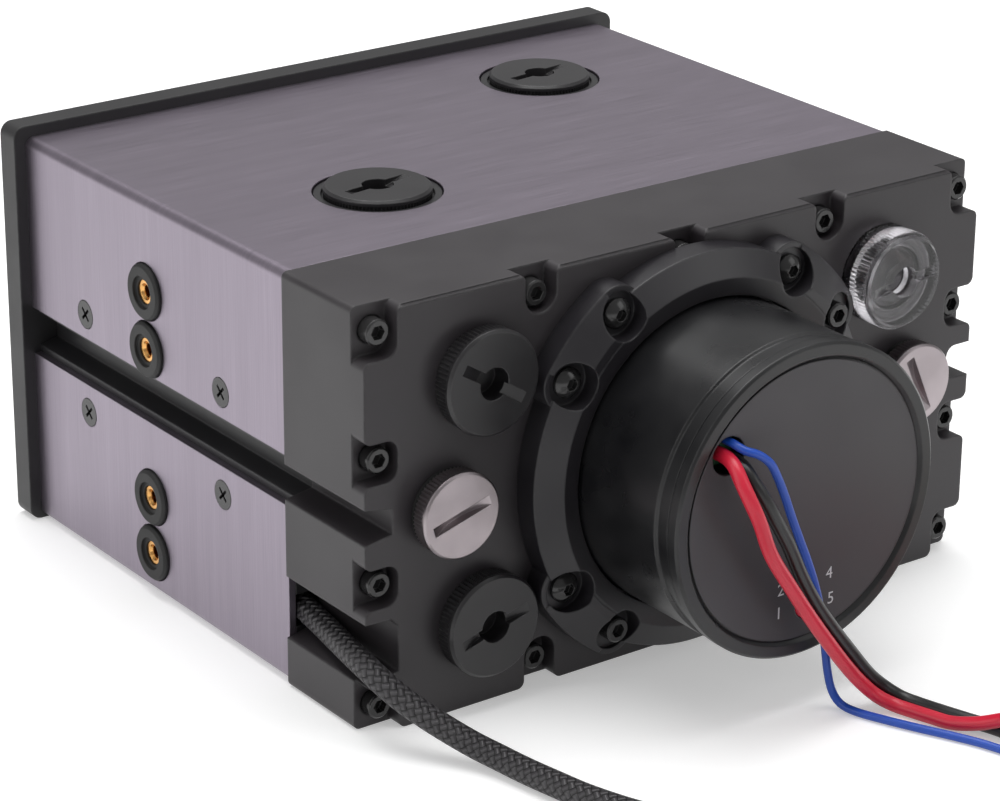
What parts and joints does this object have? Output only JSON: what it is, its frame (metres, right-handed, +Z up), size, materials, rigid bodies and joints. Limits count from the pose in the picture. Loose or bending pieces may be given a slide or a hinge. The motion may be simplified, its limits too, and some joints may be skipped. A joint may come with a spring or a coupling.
{
  "type": "coolant pump reservoir",
  "caption": "Drive-bay coolant tank with brushed shells, a screwed rear housing full of threaded ports, and a round canned-motor pump clamped to its rear face.",
  "frame": {"origin": "middle of the tank's and pump's footprint, on the surface the part stands on", "axes": "+X towards the side with the light cable, +Y from the front window to the pump, +Z up"},
  "size_m": [0.1875, 0.2547, 0.0845],
  "materials": {
    "frame_black": "satin moulded",
    "window": "clear acrylic",
    "rubber_black": "matt",
    "black_steel": "black oxide",
    "black_acetal": "machined satin",
    "housing_acetal": "machined satin, charcoal",
    "brushed_gunmetal": "brushed and anodised",
    "brass": "turned",
    "light_strip": "white board",
    "plug_black": "black anodised",
    "nickel": "nickel plated, satin",
    "clear_acrylic": "clear turned acrylic",
    "motor_black": "black, semi-gloss",
    "label_grey": "matt film",
    "dial_red": "moulded",
    "steel": "pressed",
    "ceramic": "polished",
    "impeller_plastic": "moulded",
    "magnet": "coated",
    "core": "laminated",
    "copper": "enamelled wire",
    "board_green": "solder mask",
    "braid_black": "braided sleeve",
    "heatshrink": "satin",
    "wire_red": "satin insulation",
    "wire_black": "satin insulation",
    "wire_blue": "satin insulation",
    "plug_white": "moulded nylon",
    "plug_dark": "moulded nylon"
  },
  "bodies": {
    "station": {"front_bezel": "frame_black", "front_window": "window", "front_seal": "rubber_black", "rear_seal": "rubber_black", "pump_seal": "rubber_black", "port_seals": "rubber_black", "grommets": "rubber_black", "housing_screws": "black_steel", "ring_screws": "black_steel", "bezel_screws": "black_steel", "shell_screws": "black_steel", "tank_body": "black_acetal", "rear_housing": "housing_acetal", "pump_ring": "housing_acetal", "upper_shell": "brushed_gunmetal", "lower_shell": "brushed_gunmetal", "threaded_inserts": "brass", "light_strip": "light_strip", "black_port_plugs": "plug_black", "nickel_port_plugs": "nickel", "clear_port_plug": "clear_acrylic", "pump_can": "motor_black", "end_cap": "motor_black", "end_label": "label_grey", "separation_dome": "steel", "bearing_ball": "ceramic", "stator_core": "core", "stator_windings": "copper", "control_board": "board_green", "light_cable": "braid_black", "light_cable_coil": "braid_black", "light_cable_boot": "heatshrink", "red_lead": "wire_red", "red_lead_coil": "wire_red", "black_lead": "wire_black", "black_lead_coil": "wire_black", "signal_lead": "wire_blue", "signal_lead_coil": "wire_blue", "power_plug": "plug_white", "light_plug": "plug_dark", "signal_plug": "plug_dark"},
    "rotor": {"impeller": "impeller_plastic", "rotor_magnet": "magnet"},
    "speed_dial": {"speed_dial": "dial_red"},
    "fill_seal_rear": {"fill_seal_rear": "rubber_black"},
    "fill_plug_rear": {"fill_plug_rear": "plug_black"},
    "fill_seal_front": {"fill_seal_front": "rubber_black"},
    "fill_plug_front": {"fill_plug_front": "plug_black"}
  },
  "joints": [
    {"name": "rotor_spin", "type": "hinge", "parent": "station", "child": "rotor", "pos_m": [0, 0.0282, 0.0411], "axis": [0, 1, 0], "continuous": true},
    {"name": "dial_turn", "type": "hinge", "parent": "station", "child": "speed_dial", "pos_m": [-0.0012, 0.079, 0.0203], "axis": [0, 1, 0], "range_deg": [-100, 100]},
    {"name": "fill_rear_lift", "type": "slide", "parent": "station", "child": "fill_seal_rear", "axis": [0, 0, 1], "range_m": [0, 0.0081]},
    {"name": "fill_rear_turn", "type": "hinge", "parent": "fill_seal_rear", "child": "fill_plug_rear", "pos_m": [0.0331, -0.00825, 0.0818], "axis": [0, 0, 1], "range_deg": [0, 2160]},
    {"name": "fill_front_lift", "type": "slide", "parent": "station", "child": "fill_seal_front", "axis": [0, 0, 1], "range_m": [0, 0.0081]},
    {"name": "fill_front_turn", "type": "hinge", "parent": "fill_seal_front", "child": "fill_plug_front", "pos_m": [-0.0358, -0.04925, 0.0818], "axis": [0, 0, 1], "range_deg": [0, 2160]}
  ],
  "couplings": [
    {"joint": "fill_rear_lift", "follows": "fill_rear_turn", "m_per_rad": 0.00021279},
    {"joint": "fill_front_lift", "follows": "fill_front_turn", "m_per_rad": 0.00021279}
  ]
}
